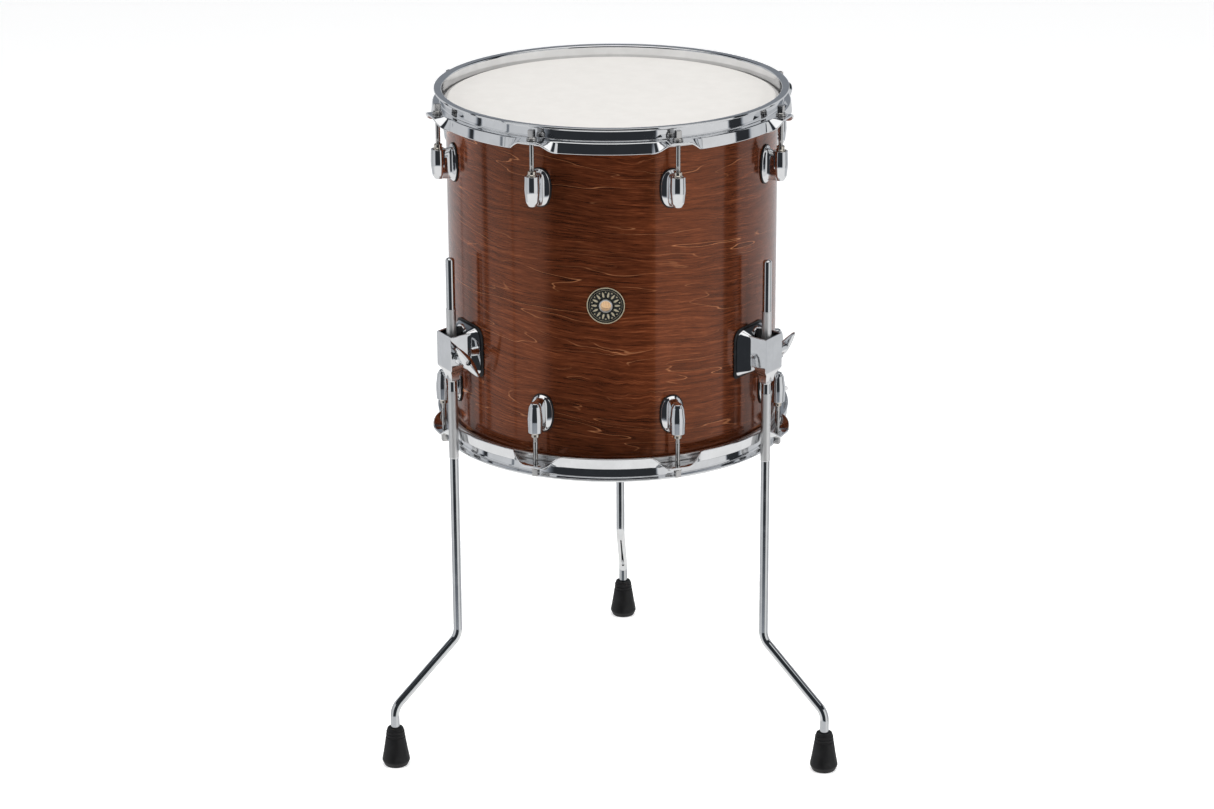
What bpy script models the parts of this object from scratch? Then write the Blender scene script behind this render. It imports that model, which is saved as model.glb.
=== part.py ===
"""A floor-standing tom: wood shell, two heads, flanged hoops, lugs, tension rods and three clamped legs.

Metres, +Z up. The origin is on the floor, under the middle of the drum's bounding box. The badge faces -Y.
Each piece around the drum is built in a local frame where -Y points away from the drum's axis, +X runs
counter-clockwise round the shell as seen from above, and +Z is up. It is then turned to its own angle.
"""

from math import cos, pi, radians, sin, sqrt, tan

import bmesh
import bpy
from mathutils import Vector

# Shell and heads
SHELL_RADIUS = 0.1764
SHELL_WALL = 0.0062
SHELL_DEPTH = 0.3556
MID_HEIGHT = 0.535
EDGE_PEAK_INSET = 0.0016
EDGE_OUTER_DROP = 0.0025
FILM = 0.0005
FILM_FLAT_RADIUS = 0.1752
FILM_RADIUS = 0.1790
FILM_DROP = 0.0044
FLESH_HOOP_RADII = (0.1785, 0.1832)
FLESH_HOOP_TOP = -0.0050
FLESH_HOOP_HEIGHT = 0.0062
GAP = 0.0003
ROUND_STEPS = 72
HIDDEN_RING_STEPS = 36

# Hoops, with heights counted from the shell's bearing edge
SHEET = 0.0023
WALL_RADIUS = 0.1800
RIM_TOP = 0.0122
RIM_LIP_RADIUS = 0.1885
SHOULDER_TOP = -0.0023
SHOULDER_RADIUS = 0.1902
SKIRT_LENGTH = 0.0123
SKIRT_FLARE = radians(6)
EAR_FLAT = 2.5
EAR_END = 8.6
EAR_STEPS = (2.5, 5.2, 8.6, 15.5, 22.5)

# Lugs and tension rods
LUGS_PER_HEAD = 8
LUG_ANGLE = 360 / LUGS_PER_HEAD
ROD_CIRCLE = 0.1935
LUG_OFFSET = 0.122
LUG_HALF_LENGTH = 0.0162
LUG_TUBE_RADIUS = 0.0079
LUG_COLLAR_TOP = 0.0218
LUG_BORE = 0.0034
LUG_BASE = (0.0125, 0.0205)
LUG_BASE_TOP = (0.0065, 0.0175)
LUG_BASE_DEPTH = 0.0040
ROD_RADIUS = 0.0025
ROD_LENGTH = 0.056
WASHER_RADIUS = 0.0055
ROD_HEAD_WIDTH = 0.0062
ROD_HEAD_TOP = 0.0112

# Legs, feet and their brackets
LEG_ANGLES = {"left": -57.5, "right": 57.5, "back": 180.0}
LEG_CIRCLE = 0.1970
LEG_RADIUS = 0.0049
LEG_TOP = 0.564
UPPER_BEND = 0.1345
LOWER_BEND = 0.0660
BEND_RADIUS = 0.019
FOOT_CIRCLE = 0.2760
FOOT_RADIUS = 0.01525
FOOT_HEIGHT = 0.0435
FOOT_TOP_RADIUS = 0.0104
FOOT_BOTTOM_RADIUS = 0.0125
FOOT_WALL_START = 0.006
FOOT_SOCKET_FLOOR = 0.010
BRACKET_HEIGHT = 0.463
GASKET_SIZE = (0.058, 0.056)
GASKET_THICKNESS = 0.0015
PLATE_SIZE = (0.053, 0.051)
PLATE_THICKNESS = 0.0024
BLOCK_FRONT = 0.0095
BLOCK_SHOULDER = 0.0095
BLOCK_HALF_WIDTHS = (0.0155, 0.0177, 0.0245)
BLOCK_TOPS = (0.0155, 0.0210, 0.0240)
BLOCK_BOTTOMS = (-0.0215, -0.0220, -0.0240)
BLOCK_IN_PLATE = 0.0021
CHIN_BOTTOM = -0.0330
POCKET_FLOOR = -0.0120
POCKET_HALF_WIDTH = 0.0130
POCKET_FRONT = 0.0079
POCKET_BACK = 0.0125
BRACKET_BORE = 0.0054
CLAMP_HEIGHT = -0.0045
EYE_RADII = (0.0056, 0.0076)
EYE_HEIGHT = 0.0090
EYE_OFFSET = 0.0003
CLAMP_THREAD = 0.0030
CLAMP_HOLE = 0.0034
CLAMP_END = 0.0352
HUB_START = 0.0188
HUB_RADIUS = 0.0064
WING_START = 0.0337
WING_END = 0.0380
WING_REACH = 0.0222
WING_TURN = radians(35)

# Badge and vent
BADGE_RADIUS = 0.0195
BADGE_THICKNESS = 0.0010
VENT_HOLE = 0.0066
VENT_BARREL = (0.0055, 0.0062)
VENT_FLANGE = 0.0073

# Derived positions
TOP_EDGE = MID_HEIGHT + SHELL_DEPTH / 2
BOTTOM_EDGE = MID_HEIGHT - SHELL_DEPTH / 2
SKIRT_REACH = SHOULDER_RADIUS + SKIRT_LENGTH * sin(SKIRT_FLARE)
AXIS_Y = -(FOOT_CIRCLE + FOOT_RADIUS - SKIRT_REACH) / 2
SHELL_INNER = SHELL_RADIUS - SHELL_WALL


def clear_scene():
    for old in list(bpy.data.objects):
        bpy.data.objects.remove(old, do_unlink=True)


def make_material(name, colour, roughness, metallic):
    material = bpy.data.materials.new(name)
    material.use_nodes = True
    shader = material.node_tree.nodes["Principled BSDF"]
    shader.inputs["Base Color"].default_value = (*colour, 1.0)
    shader.inputs["Roughness"].default_value = roughness
    shader.inputs["Metallic"].default_value = metallic
    return material


def make_materials():
    return {
        "wood": make_material("stained_wood", (0.13, 0.035, 0.015), 0.18, 0.0),
        "coated": make_material("coated_film", (0.86, 0.84, 0.80), 0.6, 0.0),
        "clear": make_material("clear_film", (0.80, 0.82, 0.83), 0.15, 0.0),
        "aluminium": make_material("flesh_hoop_aluminium", (0.75, 0.75, 0.76), 0.35, 1.0),
        "chrome": make_material("chrome", (0.78, 0.79, 0.80), 0.08, 1.0),
        "rubber": make_material("black_rubber", (0.015, 0.015, 0.016), 0.55, 0.0),
        "enamel": make_material("badge_enamel", (0.02, 0.02, 0.02), 0.3, 0.0),
    }


def circle(radius, height, steps, centre=(0.0, 0.0), start=-pi / 2):
    """Points of a level ring, counter-clockwise from the local -Y direction."""
    turns = [start + 2 * pi * i / steps for i in range(steps)]
    return [Vector((centre[0] + radius * cos(a), centre[1] + radius * sin(a), height)) for a in turns]


def loft(rings, closed=False):
    """A mesh through rings of equal length. The last ring meets the first, or both ends are capped."""
    bm = bmesh.new()
    loops = [[bm.verts.new(point) for point in ring] for ring in rings]
    count = len(loops[0])
    pairs = list(zip(loops, loops[1:]))
    if closed:
        pairs.append((loops[-1], loops[0]))
    else:
        bm.faces.new(list(reversed(loops[0])))
        bm.faces.new(loops[-1])
    for first, second in pairs:
        for i in range(count):
            j = (i + 1) % count
            bm.faces.new((first[i], first[j], second[j], second[i]))
    bmesh.ops.recalc_face_normals(bm, faces=bm.faces)
    return bm


def turned(profile, steps, centre=(0.0, 0.0)):
    """A solid of revolution about Z with flat caps at the first and last (radius, height)."""
    return loft([circle(radius, height, steps, centre) for radius, height in profile])


def turned_ring(section, steps):
    """A ring about Z with the closed cross-section of (radius, height) points."""
    angles = [-pi / 2 + 2 * pi * i / steps for i in range(steps)]
    return loft([[Vector((r * cos(a), r * sin(a), z)) for r, z in section] for a in angles], closed=True)


def along_x(bm):
    """Turns a solid of revolution about Z into one about X."""
    for vert in bm.verts:
        x, y, z = vert.co
        vert.co = (z, x, y)
    return bm


def along_y(bm):
    """Turns a solid of revolution about Z into one about Y."""
    for vert in bm.verts:
        x, y, z = vert.co
        vert.co = (y, z, x)
    return bm


def block(low, high):
    bm = bmesh.new()
    bmesh.ops.create_cube(bm, size=1.0)
    for vert in bm.verts:
        vert.co = [low[i] if vert.co[i] < 0 else high[i] for i in range(3)]
    return bm


def to_mesh(bm, name):
    mesh = bpy.data.meshes.new(name)
    bm.to_mesh(mesh)
    bm.free()
    return mesh


def combine(base, name, steps):
    """The mesh left after uniting shapes with, or cutting them from, the base shape."""
    helpers = [bpy.data.objects.new(name + "_base", to_mesh(base, name))]
    for operation, bm in steps:
        helpers.append(bpy.data.objects.new(f"{name}_{len(helpers)}", to_mesh(bm, name)))
        modifier = helpers[0].modifiers.new(operation, "BOOLEAN")
        modifier.operation = operation
        modifier.object = helpers[-1]
    for helper in helpers:
        bpy.context.scene.collection.objects.link(helper)
    graph = bpy.context.evaluated_depsgraph_get()
    mesh = bpy.data.meshes.new_from_object(helpers[0].evaluated_get(graph))
    for helper in helpers:
        bpy.data.objects.remove(helper, do_unlink=True)
    return mesh


def smooth(mesh, angle=35):
    mesh.shade_smooth()
    mesh.set_sharp_from_angle(angle=radians(angle))
    return mesh


def add(name, mesh, material, parent, location=(0, 0, 0), rotation=(0, 0, 0)):
    """Objects that share a mesh keep the material that the mesh was first given."""
    if not mesh.materials:
        mesh.materials.append(material)
    obj = bpy.data.objects.new(name, mesh)
    obj.parent = parent
    obj.location = location
    obj.rotation_euler = rotation
    bpy.context.scene.collection.objects.link(obj)
    return obj


def around(angle, radius, height):
    """A point at an angle from the badge, in degrees counter-clockwise from above."""
    turn = radians(angle)
    return (radius * sin(turn), -radius * cos(turn), height)


def lug_angles():
    return [LUG_ANGLE * (i + 0.5) for i in range(LUGS_PER_HEAD)]


def build_shell(axis, materials):
    """A wood tube whose ends come to a bearing edge, with the vent hole under the badge."""
    half = SHELL_DEPTH / 2
    peak = SHELL_RADIUS - EDGE_PEAK_INSET
    bevel_end = half - (peak - SHELL_INNER)
    section = [
        (SHELL_RADIUS, half - EDGE_OUTER_DROP),
        (peak, half),
        (SHELL_INNER, bevel_end),
        (SHELL_INNER, -bevel_end),
        (peak, -half),
        (SHELL_RADIUS, -half + EDGE_OUTER_DROP),
    ]
    outside, inside = -SHELL_RADIUS - SHELL_WALL, -SHELL_INNER + SHELL_WALL
    drill = along_y(turned([(VENT_HOLE, outside), (VENT_HOLE, inside)], 16))
    mesh = combine(turned_ring(section, ROUND_STEPS), "shell", [("DIFFERENCE", drill)])
    add("shell", smooth(mesh), materials["wood"], axis, (0, 0, MID_HEIGHT))


def build_heads(axis, materials):
    """Each head is a film drawn over the bearing edge, and the flesh hoop that grips it."""
    film = [
        (FILM_FLAT_RADIUS, GAP),
        (FILM_RADIUS, -FILM_DROP),
        (FILM_RADIUS, -FILM_DROP + FILM),
        (FILM_FLAT_RADIUS, GAP + FILM),
    ]
    low, high = FLESH_HOOP_RADII
    bottom = FLESH_HOOP_TOP - FLESH_HOOP_HEIGHT
    section = [(low, bottom), (high, bottom), (high, FLESH_HOOP_TOP), (low, FLESH_HOOP_TOP)]
    head = smooth(to_mesh(turned(film, ROUND_STEPS), "head"))
    ring = smooth(to_mesh(turned_ring(section, HIDDEN_RING_STEPS), "flesh_hoop"))
    flip = (pi, 0, 0)
    top, under = (0, 0, TOP_EDGE), (0, 0, BOTTOM_EDGE)
    clear_head = head.copy()
    add("batter_head", head, materials["coated"], axis, top)
    add("resonant_head", clear_head, materials["clear"], axis, under, flip)
    add("batter_flesh_hoop", ring, materials["aluminium"], axis, top)
    add("resonant_flesh_hoop", ring, materials["aluminium"], axis, under, flip)


def hoop_section(spread):
    """The hoop's cross-section. Spread 0 hangs the skirt down, and 1 lays it flat as an ear."""
    swing = SKIRT_FLARE + (pi / 2 - SKIRT_FLARE) * spread
    down = Vector((sin(swing), -cos(swing)))
    across = Vector((cos(swing), sin(swing)))
    corner = Vector((SHOULDER_RADIUS, SHOULDER_TOP))
    outer = corner + SKIRT_LENGTH * down
    inner = outer - SHEET * across
    miter = Vector((SHOULDER_RADIUS - SHEET * tan((pi / 2 - swing) / 2), SHOULDER_TOP - SHEET))
    wall_out = WALL_RADIUS + SHEET
    return [
        (WALL_RADIUS, SHOULDER_TOP - SHEET),
        (WALL_RADIUS, RIM_TOP - 0.0027),
        (wall_out + 0.0007, RIM_TOP),
        (RIM_LIP_RADIUS - 0.0005, RIM_TOP - 0.0005),
        (RIM_LIP_RADIUS, RIM_TOP - 0.0027),
        (wall_out + 0.0025, RIM_TOP - 0.0028),
        (wall_out, RIM_TOP - 0.0052),
        (wall_out, SHOULDER_TOP),
        tuple(corner),
        tuple(outer),
        tuple(inner),
        tuple(miter),
    ]


def ear_spread(offset):
    """How far the skirt is laid out flat, by its angle in degrees from the nearest tension rod."""
    along = min(max((EAR_END - offset) / (EAR_END - EAR_FLAT), 0.0), 1.0)
    return along * along * (3 - 2 * along)


def hoop_stations():
    """(angle, offset from the nearest rod) of each cross-section round the hoop."""
    stations = []
    for centre in lug_angles():
        stations += [(centre - step, step) for step in reversed(EAR_STEPS[:-1])]
        stations += [(centre + step, step) for step in EAR_STEPS]
    return stations


def build_hoops(axis, materials):
    """Pressed hoops: a wall with a rolled lip, a shoulder over the flesh hoop, a skirt and eight ears."""
    rings = []
    for angle, offset in hoop_stations():
        section = hoop_section(ear_spread(offset))
        rings.append([Vector(around(angle, radius, height)) for radius, height in section])
    holes = []
    for angle in lug_angles():
        centre = around(angle, ROD_CIRCLE, 0)[:2]
        holes.append(("DIFFERENCE", turned([(LUG_BORE, -0.012), (LUG_BORE, 0.003)], 8, centre)))
    mesh = smooth(combine(loft(rings, closed=True), "hoop", holes))
    add("top_hoop", mesh, materials["chrome"], axis, (0, 0, TOP_EDGE))
    add("bottom_hoop", mesh, materials["chrome"], axis, (0, 0, BOTTOM_EDGE), (pi, 0, 0))


def lug_mesh():
    """A bullet-shaped tube that takes the rod, on a web that stands it off an oval base."""
    half = LUG_HALF_LENGTH
    tube = [
        (LUG_BORE, -0.006),
        (LUG_BORE, LUG_COLLAR_TOP),
        (0.0045, LUG_COLLAR_TOP),
        (0.0045, half),
        (0.0072, half),
        (LUG_TUBE_RADIUS, 0.0010),
        (0.0062, -half + 0.0038),
        (0.0024, -half),
    ]
    back = ROD_CIRCLE - SHELL_RADIUS - GAP
    base_rings = []
    for depth, (width, height) in ((back, LUG_BASE), (back - LUG_BASE_DEPTH, LUG_BASE_TOP)):
        ring = circle(1.0, 0.0, 10)
        base_rings.append([Vector((width * p.x, depth, height * p.y)) for p in ring])
    web = block((-0.0046, 0.0050, -0.0150), (0.0046, back - 0.0030, 0.0140))
    parts = [("UNION", web), ("UNION", loft(base_rings))]
    return smooth(combine(turned(tube, 8), "lug", parts))


def rod_mesh():
    """A threaded rod with its washer, flange and square drive head. Height 0 is the hoop ear's top."""
    half = ROD_HEAD_WIDTH / 2
    square = [Vector((0, -half)), Vector((half, -half)), Vector((half, 0)), Vector((half, half))]
    square += [-corner for corner in square]
    flange_top = GAP + 0.0028
    rings = [
        circle(ROD_RADIUS, -ROD_LENGTH, 8),
        circle(ROD_RADIUS, GAP, 8),
        circle(WASHER_RADIUS, GAP, 8),
        circle(WASHER_RADIUS, GAP + 0.0013, 8),
        [corner.to_3d() + Vector((0, 0, flange_top)) for corner in square],
        [corner.to_3d() + Vector((0, 0, ROD_HEAD_TOP)) for corner in square],
    ]
    return smooth(to_mesh(loft(rings), "tension_rod"))


def build_lugs_and_rods(axis, materials):
    lug = lug_mesh()
    rod = rod_mesh()
    for number, angle in enumerate(lug_angles(), start=1):
        turn = radians(angle)
        ear = SHOULDER_TOP
        for side, sign, flip in (("top", 1, 0.0), ("bottom", -1, pi)):
            lug_place = around(angle, ROD_CIRCLE, MID_HEIGHT + sign * LUG_OFFSET)
            rod_place = around(angle, ROD_CIRCLE, MID_HEIGHT + sign * (SHELL_DEPTH / 2 + ear))
            # A half turn about the radial direction turns the mouth towards the bottom hoop.
            turned_over = (0, flip, turn)
            add(f"{side}_lug_{number}", lug, materials["chrome"], axis, lug_place, turned_over)
            add(f"{side}_tension_rod_{number}", rod, materials["chrome"], axis, rod_place, turned_over)


def curved_plate(size, inner, thickness, corner):
    """A plate wrapped on the shell about the leg's bracket, with its corners cut back."""
    half_width, half_height = size[0] / 2, size[1] / 2
    right = [(0.6, 0.0), (0.86, corner * 0.3), (1.0, corner)]
    columns = [(-share, cut) for share, cut in reversed(right)] + [(0.0, 0.0)] + right
    outer = inner + thickness
    rings = []
    for share, cut in columns:
        angle = share * half_width / SHELL_RADIUS
        height = half_height - cut
        ring = []
        for radius, z in ((inner, -height), (outer, -height), (outer, height), (inner, height)):
            ring.append(Vector((radius * sin(angle), LEG_CIRCLE - radius * cos(angle), z)))
        rings.append(ring)
    return loft(rings)


def bracket_mesh():
    """A cast block that flares out to a curved plate. It is hollow from the top, and its chin guides the leg."""
    back = LEG_CIRCLE - SHELL_RADIUS
    inner = SHELL_RADIUS + 2 * GAP + GASKET_THICKNESS
    plate = curved_plate(PLATE_SIZE, inner, PLATE_THICKNESS, 0.006)
    plate_face = back - 2 * GAP - GASKET_THICKNESS - PLATE_THICKNESS
    depths = (-BLOCK_FRONT, BLOCK_SHOULDER, plate_face + BLOCK_IN_PLATE)
    rings = []
    for y, half, low, high in zip(depths, BLOCK_HALF_WIDTHS, BLOCK_BOTTOMS, BLOCK_TOPS):
        rings.append([Vector((x, y, z)) for x, z in ((-half, low), (half, low), (half, high), (-half, high))])
    body = loft(rings)
    chin = turned([(0.0074, CHIN_BOTTOM), (0.0092, BLOCK_BOTTOMS[0] + 0.002)], 12)
    pocket_low = (-POCKET_HALF_WIDTH, -POCKET_FRONT, POCKET_FLOOR)
    pocket = block(pocket_low, (POCKET_HALF_WIDTH, POCKET_BACK, BLOCK_TOPS[-1] + 0.01))
    bore = turned([(BRACKET_BORE, CHIN_BOTTOM - 0.01), (BRACKET_BORE, POCKET_FLOOR + 0.005)], 12)
    side_hole = along_x(turned([(CLAMP_HOLE, 0.008), (CLAMP_HOLE, 0.020)], 8))
    bmesh.ops.translate(side_hole, verts=side_hole.verts, vec=(0, 0, CLAMP_HEIGHT))
    steps = [("UNION", plate), ("UNION", chin), ("DIFFERENCE", pocket), ("DIFFERENCE", bore)]
    steps.append(("DIFFERENCE", side_hole))
    return smooth(combine(body, "bracket", steps))


def eyebolt_mesh():
    """A ring round the leg with a threaded shank. The origin is on the leg's axis, at the shank's height."""
    inner, outer = EYE_RADII
    half = EYE_HEIGHT / 2
    ring = turned_ring([(inner, -half), (outer, -half), (outer, half), (inner, half)], 12)
    bmesh.ops.translate(ring, verts=ring.verts, vec=(EYE_OFFSET, 0, 0))
    start = EYE_OFFSET + (inner + outer) / 2
    shank = along_x(turned([(CLAMP_THREAD, start), (CLAMP_THREAD, CLAMP_END)], 8))
    return smooth(combine(ring, "eyebolt", [("UNION", shank)]))


def wing_nut_mesh():
    """A threaded hub along X that carries a straight leaf-shaped bar across its outer end."""
    hub_profile = [(HUB_RADIUS, HUB_START), (HUB_RADIUS, HUB_START + 0.0025), (0.0050, WING_START + 0.0010)]
    hub = along_x(turned(hub_profile, 12))
    hole = along_x(turned([(CLAMP_HOLE, HUB_START - 0.004), (CLAMP_HOLE, WING_END + 0.004)], 8))
    leaf = [(-1.0, 0.0012), (-0.55, 0.0040), (0.0, 0.0056), (0.55, 0.0040), (1.0, 0.0012)]
    outline = [(share * WING_REACH, -half) for share, half in leaf]
    outline += [(share * WING_REACH, half) for share, half in reversed(leaf)]
    wings = loft([[Vector((x, across, out)) for out, across in outline] for x in (WING_START, WING_END)])
    return smooth(combine(hub, "wing_nut", [("UNION", wings), ("DIFFERENCE", hole)]))


def leg_path():
    """The leg's centre line as (distance outwards, height), from its top to its end in the foot."""
    reach = FOOT_CIRCLE - LEG_CIRCLE
    drop = UPPER_BEND - LOWER_BEND
    length = sqrt(reach**2 + drop**2)
    lean = Vector((reach, -drop)) / length
    down = Vector((0.0, -1.0))
    half_turn = pi / 2 - lean.angle(Vector((1.0, 0.0)))
    trim = BEND_RADIUS * tan(half_turn / 2)
    points = [Vector((0.0, LEG_TOP)), Vector((0.0, 0.36)), Vector((0.0, 0.25))]
    for corner, before, after in ((UPPER_BEND, down, lean), (LOWER_BEND, lean, down)):
        at = Vector((0.0 if before is down else reach, corner))
        start, end = at - trim * before, at + trim * after
        for i in range(5):
            t = i / 4
            points.append((1 - t) ** 2 * start + 2 * t * (1 - t) * at + t**2 * end)
    points.append(Vector((reach, FOOT_SOCKET_FLOOR + 0.002)))
    return points


def leg_mesh():
    """A bent rod with a chamfered top, swept along its path."""
    path = leg_path()
    top = path[0]
    stations = [(top, LEG_RADIUS * 0.55), (top - Vector((0, 0.0025)), LEG_RADIUS)]
    stations += [(point, LEG_RADIUS) for point in path[1:]]
    rings = []
    for i, (point, radius) in enumerate(stations):
        before = stations[max(i - 1, 0)][0]
        after = stations[min(i + 1, len(stations) - 1)][0]
        run = (after - before).normalized()
        side = Vector((-run.y, run.x))
        ring = []
        for turn in [2 * pi * k / 10 for k in range(10)]:
            out = point + radius * cos(turn) * side
            ring.append(Vector((radius * sin(turn), -out.x, out.y)))
        rings.append(ring)
    return smooth(to_mesh(loft(rings), "leg"))


def foot_mesh():
    """A tapered rubber foot with a chamfered base and a socket for the leg's end."""
    profile = [
        (LEG_RADIUS + 0.0004, FOOT_SOCKET_FLOOR),
        (LEG_RADIUS + 0.0004, FOOT_HEIGHT),
        (FOOT_TOP_RADIUS, FOOT_HEIGHT),
        (FOOT_RADIUS, FOOT_WALL_START),
        (FOOT_BOTTOM_RADIUS, 0.0),
    ]
    centre = (0.0, -(FOOT_CIRCLE - LEG_CIRCLE))
    return smooth(to_mesh(turned(profile, 16, centre), "foot"))


def build_legs(axis, materials):
    """Three sets of bracket, gasket, eyebolt, wing nut, leg and foot."""
    bracket = bracket_mesh()
    sheet = curved_plate(GASKET_SIZE, SHELL_RADIUS + GAP, GASKET_THICKNESS, 0.007)
    gasket = smooth(to_mesh(sheet, "gasket"))
    eyebolt = eyebolt_mesh()
    wing_nut = wing_nut_mesh()
    leg = leg_mesh()
    foot = foot_mesh()
    for side, angle in LEG_ANGLES.items():
        turn = radians(angle)
        level = (0, 0, turn)
        bracket_place = around(angle, LEG_CIRCLE, BRACKET_HEIGHT)
        clamp_place = around(angle, LEG_CIRCLE, BRACKET_HEIGHT + CLAMP_HEIGHT)
        leg_place = around(angle, LEG_CIRCLE, 0)
        add(f"{side}_leg_bracket", bracket, materials["chrome"], axis, bracket_place, level)
        add(f"{side}_bracket_gasket", gasket, materials["rubber"], axis, bracket_place, level)
        add(f"{side}_clamp_eyebolt", eyebolt, materials["chrome"], axis, clamp_place, level)
        add(f"{side}_wing_nut", wing_nut, materials["chrome"], axis, clamp_place, (WING_TURN, 0, turn))
        add(f"{side}_leg", leg, materials["chrome"], axis, leg_place, level)
        add(f"{side}_foot", foot, materials["rubber"], axis, leg_place, level)


def build_badge(axis, materials):
    """A thin round badge bent to the shell, held by the vent grommet through its middle."""
    hole = VENT_HOLE + 0.0002
    face = GAP + BADGE_THICKNESS
    section = [(hole, GAP), (BADGE_RADIUS, GAP), (BADGE_RADIUS, face), (hole, face)]
    badge = turned_ring(section, 24)
    for vert in badge.verts:
        across, up, out = vert.co
        angle = across / SHELL_RADIUS
        radius = SHELL_RADIUS + out
        vert.co = (radius * sin(angle), -radius * cos(angle), up)
    bmesh.ops.recalc_face_normals(badge, faces=badge.faces)
    add("badge", smooth(to_mesh(badge, "badge")), materials["enamel"], axis, (0, 0, MID_HEIGHT))
    low, high = VENT_BARREL
    under = -SHELL_RADIUS - GAP - face
    inside = -SHELL_INNER + 3 * GAP
    grommet_section = [
        (low, under - 0.0012),
        (VENT_FLANGE, under - 0.0006),
        (VENT_FLANGE, under),
        (high, under),
        (high, inside),
        (VENT_FLANGE, inside),
        (VENT_FLANGE, inside + 0.0010),
        (low, inside + 0.0010),
    ]
    grommet = along_y(turned_ring(grommet_section, 16))
    grommet_mesh = smooth(to_mesh(grommet, "vent_grommet"))
    add("vent_grommet", grommet_mesh, materials["chrome"], axis, (0, 0, MID_HEIGHT))


def main():
    clear_scene()
    materials = make_materials()
    axis = bpy.data.objects.new("drum_axis", None)
    axis.location = (0, AXIS_Y, 0)
    bpy.context.scene.collection.objects.link(axis)
    build_shell(axis, materials)
    build_heads(axis, materials)
    build_hoops(axis, materials)
    build_lugs_and_rods(axis, materials)
    build_legs(axis, materials)
    build_badge(axis, materials)


main()
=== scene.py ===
"""The visible model of a floor-standing tom drum, with its materials, floor, light and camera.

Metres, +Z up. Pieces that stand round the drum are built in a local frame where -Y points away from the drum's
axis, +X runs counter-clockwise round the shell as seen from above, and +Z is up.
"""

from math import acos, atan2, cos, pi, radians, sin, sqrt, tan

import bmesh
import bpy
from mathutils import Matrix, Vector


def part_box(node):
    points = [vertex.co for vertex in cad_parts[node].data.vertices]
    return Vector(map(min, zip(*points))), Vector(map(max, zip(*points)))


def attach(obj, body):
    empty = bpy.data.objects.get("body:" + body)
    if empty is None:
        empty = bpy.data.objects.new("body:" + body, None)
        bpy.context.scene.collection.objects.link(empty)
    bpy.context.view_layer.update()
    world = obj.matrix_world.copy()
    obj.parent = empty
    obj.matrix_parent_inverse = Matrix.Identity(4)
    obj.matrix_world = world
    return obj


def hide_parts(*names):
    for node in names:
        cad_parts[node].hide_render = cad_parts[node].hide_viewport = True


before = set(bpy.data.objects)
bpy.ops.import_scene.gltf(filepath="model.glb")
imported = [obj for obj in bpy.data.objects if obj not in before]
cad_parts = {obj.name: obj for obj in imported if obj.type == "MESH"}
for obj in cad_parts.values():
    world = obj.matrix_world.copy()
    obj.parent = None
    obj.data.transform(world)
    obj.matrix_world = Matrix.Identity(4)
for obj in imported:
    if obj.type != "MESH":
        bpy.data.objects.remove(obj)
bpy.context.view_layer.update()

# Places read from the frame
SHELL_LOW, SHELL_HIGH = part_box("shell")
AXIS = (SHELL_LOW + SHELL_HIGH) / 2
TOP_EDGE, BOTTOM_EDGE, MID_HEIGHT = SHELL_HIGH.z, SHELL_LOW.z, AXIS.z
SHELL_RADIUS = (SHELL_HIGH.x - SHELL_LOW.x) / 2
LEG_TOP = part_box("left_leg")[1].z
FOOT_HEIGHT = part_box("left_foot")[1].z
DRUM_MIDDLE = Matrix.Translation((AXIS.x, AXIS.y, MID_HEIGHT))

# Shell and heads, as the frame has them
SHELL_WALL = 0.0062
PLY = 0.00105
SHELL_INNER = SHELL_RADIUS - SHELL_WALL
EDGE_PEAK_INSET = 0.0016
EDGE_OUTER_DROP = 0.0025
VENT_HOLE = 0.0066
FILM = 0.0005
FILM_FLAT_RADIUS = 0.1752
FILM_RADIUS = 0.1790
FILM_DROP = 0.0044
COATING_RADIUS = 0.1741
FILM_GAP = 0.0003
FLESH_HOOP_RADII = (0.1785, 0.1832)
FLESH_HOOP_TOP = -0.0050
FLESH_HOOP_HEIGHT = 0.0062
ROUND_STEPS = 288

# Hoops, with heights counted from the shell's bearing edge
SHEET = 0.0023
WALL_RADIUS = 0.1800
RIM_TOP = 0.0122
RIM_LIP_RADIUS = 0.1885
SHOULDER_TOP = -0.0023
SHOULDER_RADIUS = 0.1902
SKIRT_LENGTH = 0.0123
SKIRT_FLARE = radians(6)
EAR_FLAT = 2.5
EAR_END = 8.6

# Lugs and rods
LUG_ANGLES = [22.5 + 45 * i for i in range(8)]
ROD_CIRCLE = 0.1935
LUG_OFFSET = 0.122
ROD_RADIUS = 0.0025
ROD_LENGTH = 0.056

# Legs and brackets
LEG_ANGLES = {"left": -57.5, "right": 57.5, "back": 180.0}
LEG_CIRCLE = 0.1970
LEG_RADIUS = 0.00485
UPPER_BEND = 0.1345
LOWER_BEND = 0.0660
BEND_RADIUS = 0.019
FOOT_CIRCLE = 0.2760
KNURLS = ((0.508, 0.428), (0.417, 0.341))
FOOT_RADIUS = 0.01525
BRACKET_HEIGHT = 0.463
BLOCK_FRONT = 0.0095
BLOCK_SHOULDER = 0.0095
CLAMP_HEIGHT = -0.0045
WING_TURN = radians(35)
WING_MIDDLE = 0.03585
BRACKET_BORE = 0.0054


# Node trees


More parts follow.
